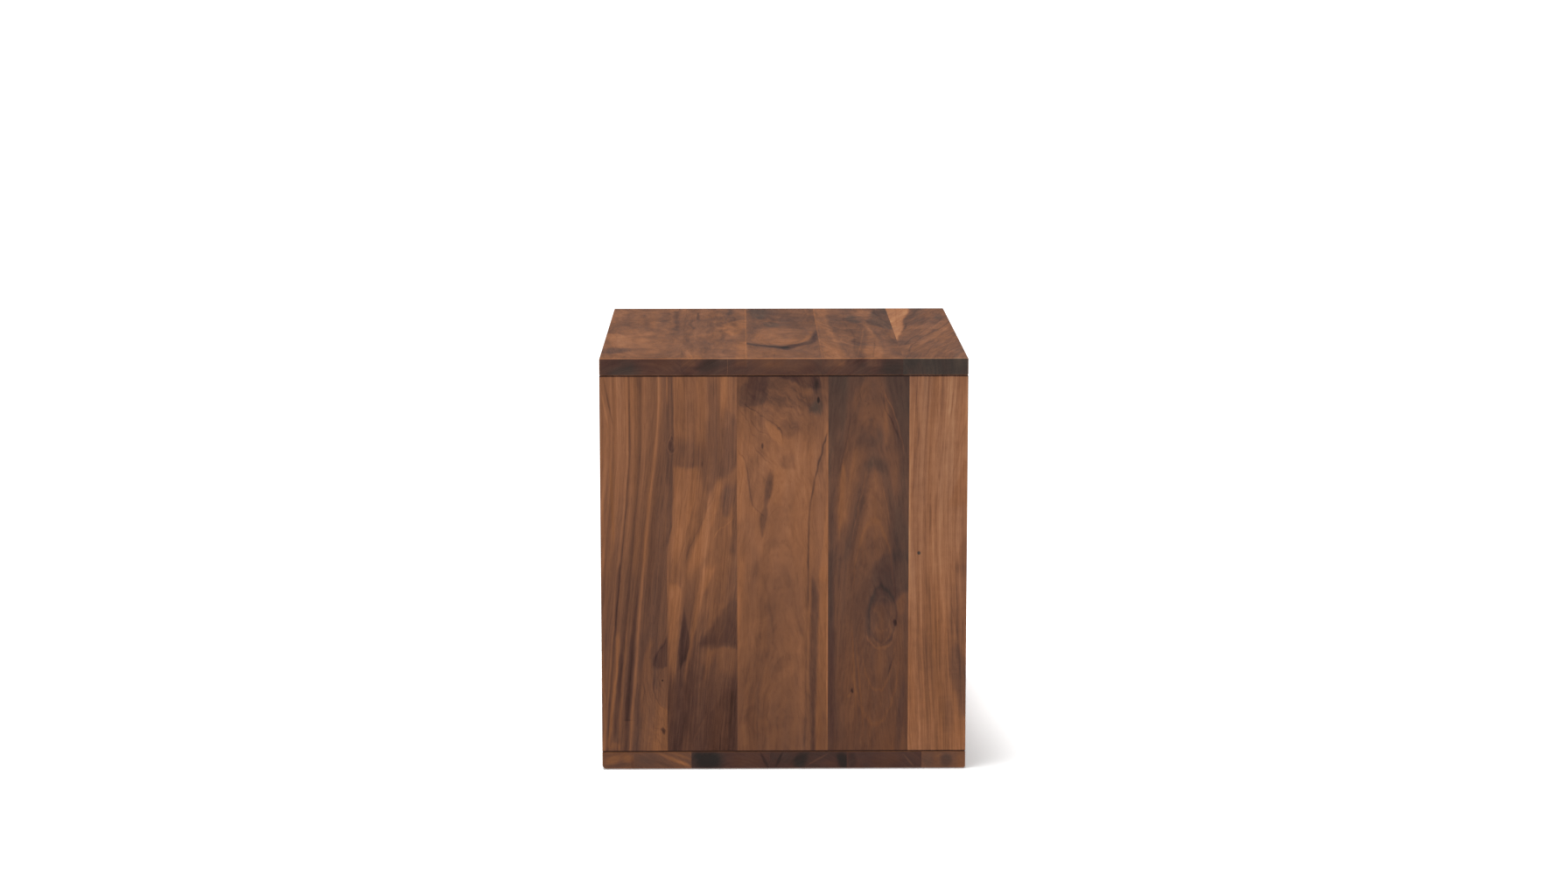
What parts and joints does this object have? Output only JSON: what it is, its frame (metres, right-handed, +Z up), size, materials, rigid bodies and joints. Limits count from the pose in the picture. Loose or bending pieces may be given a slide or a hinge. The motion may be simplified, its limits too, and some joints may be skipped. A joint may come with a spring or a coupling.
{
  "type": "open-front storage cube",
  "caption": "Open-fronted storage cube of edge-glued walnut staves, doweled at the corners, with a screwed-in back panel and recessed levelling glides.",
  "frame": {"origin": "on the floor under the middle of the case", "axes": "+Z up, open front faces -Y, +X to the right seen from the front"},
  "size_m": [0.4572, 0.4, 0.4572],
  "materials": {
    "walnut_top": "clear satin oil finish on long grain running left to right, dark end grain at the sides",
    "walnut_side": "clear satin oil finish on upright grain, light and dark heartwood staves",
    "walnut_base": "clear satin oil finish, dark end grain at the sides",
    "walnut_back": "satin veneer",
    "beech": "bare wood",
    "black_steel": "black oxide, satin",
    "zinc_steel": "bright zinc",
    "nylon": "moulded black nylon"
  },
  "bodies": {
    "carcass": {"top_stave_1": "walnut_top", "top_stave_2": "walnut_top", "top_stave_3": "walnut_top", "top_stave_4": "walnut_top", "top_stave_5": "walnut_top", "base_stave_1": "walnut_base", "base_stave_2": "walnut_base", "base_stave_3": "walnut_base", "base_stave_4": "walnut_base", "base_stave_5": "walnut_base", "base_stave_6": "walnut_base", "right_side_stave_1": "walnut_side", "right_side_stave_2": "walnut_side", "right_side_stave_3": "walnut_side", "right_side_stave_4": "walnut_side", "right_side_stave_5": "walnut_side", "left_side_stave_1": "walnut_side", "left_side_stave_2": "walnut_side", "left_side_stave_3": "walnut_side", "left_side_stave_4": "walnut_side", "left_side_stave_5": "walnut_side", "back_panel": "walnut_back", "back_screw_1": "black_steel", "back_screw_2": "black_steel", "back_screw_3": "black_steel", "back_screw_4": "black_steel", "back_screw_5": "black_steel", "back_screw_6": "black_steel", "back_screw_7": "black_steel", "back_screw_8": "black_steel", "dowel_base_left_1": "beech", "dowel_top_left_1": "beech", "dowel_base_left_2": "beech", "dowel_top_left_2": "beech", "dowel_base_left_3": "beech", "dowel_top_left_3": "beech", "dowel_base_left_4": "beech", "dowel_top_left_4": "beech", "dowel_base_right_1": "beech", "dowel_top_right_1": "beech", "dowel_base_right_2": "beech", "dowel_top_right_2": "beech", "dowel_base_right_3": "beech", "dowel_top_right_3": "beech", "dowel_base_right_4": "beech", "dowel_top_right_4": "beech", "glide_insert_front_left": "zinc_steel", "glide_insert_front_right": "zinc_steel", "glide_insert_rear_left": "zinc_steel", "glide_insert_rear_right": "zinc_steel"},
    "pad_front_left": {"glide_pad_front_left": "nylon"},
    "stem_front_left": {"glide_stem_front_left": "zinc_steel"},
    "pad_front_right": {"glide_pad_front_right": "nylon"},
    "stem_front_right": {"glide_stem_front_right": "zinc_steel"},
    "pad_rear_left": {"glide_pad_rear_left": "nylon"},
    "stem_rear_left": {"glide_stem_rear_left": "zinc_steel"},
    "pad_rear_right": {"glide_pad_rear_right": "nylon"},
    "stem_rear_right": {"glide_stem_rear_right": "zinc_steel"}
  },
  "joints": [
    {"name": "glide_extend_front_left", "type": "slide", "parent": "carcass", "child": "pad_front_left", "axis": [0, 0, -1], "range_m": [0, 0.005]},
    {"name": "glide_turn_front_left", "type": "hinge", "parent": "pad_front_left", "child": "stem_front_left", "pos_m": [-0.185, -0.134, 0], "axis": [0, 0, -1], "range_deg": [0, 1800]},
    {"name": "glide_extend_front_right", "type": "slide", "parent": "carcass", "child": "pad_front_right", "axis": [0, 0, -1], "range_m": [0, 0.005]},
    {"name": "glide_turn_front_right", "type": "hinge", "parent": "pad_front_right", "child": "stem_front_right", "pos_m": [0.185, -0.134, 0], "axis": [0, 0, -1], "range_deg": [0, 1800]},
    {"name": "glide_extend_rear_left", "type": "slide", "parent": "carcass", "child": "pad_rear_left", "axis": [0, 0, -1], "range_m": [0, 0.005]},
    {"name": "glide_turn_rear_left", "type": "hinge", "parent": "pad_rear_left", "child": "stem_rear_left", "pos_m": [-0.185, 0.134, 0], "axis": [0, 0, -1], "range_deg": [0, 1800]},
    {"name": "glide_extend_rear_right", "type": "slide", "parent": "carcass", "child": "pad_rear_right", "axis": [0, 0, -1], "range_m": [0, 0.005]},
    {"name": "glide_turn_rear_right", "type": "hinge", "parent": "pad_rear_right", "child": "stem_rear_right", "pos_m": [0.185, 0.134, 0], "axis": [0, 0, -1], "range_deg": [0, 1800]}
  ],
  "couplings": [
    {"joint": "glide_turn_front_left", "follows": "glide_extend_front_left", "rad_per_m": 6283.2},
    {"joint": "glide_turn_front_right", "follows": "glide_extend_front_right", "rad_per_m": 6283.2},
    {"joint": "glide_turn_rear_left", "follows": "glide_extend_rear_left", "rad_per_m": 6283.2},
    {"joint": "glide_turn_rear_right", "follows": "glide_extend_rear_right", "rad_per_m": 6283.2}
  ]
}
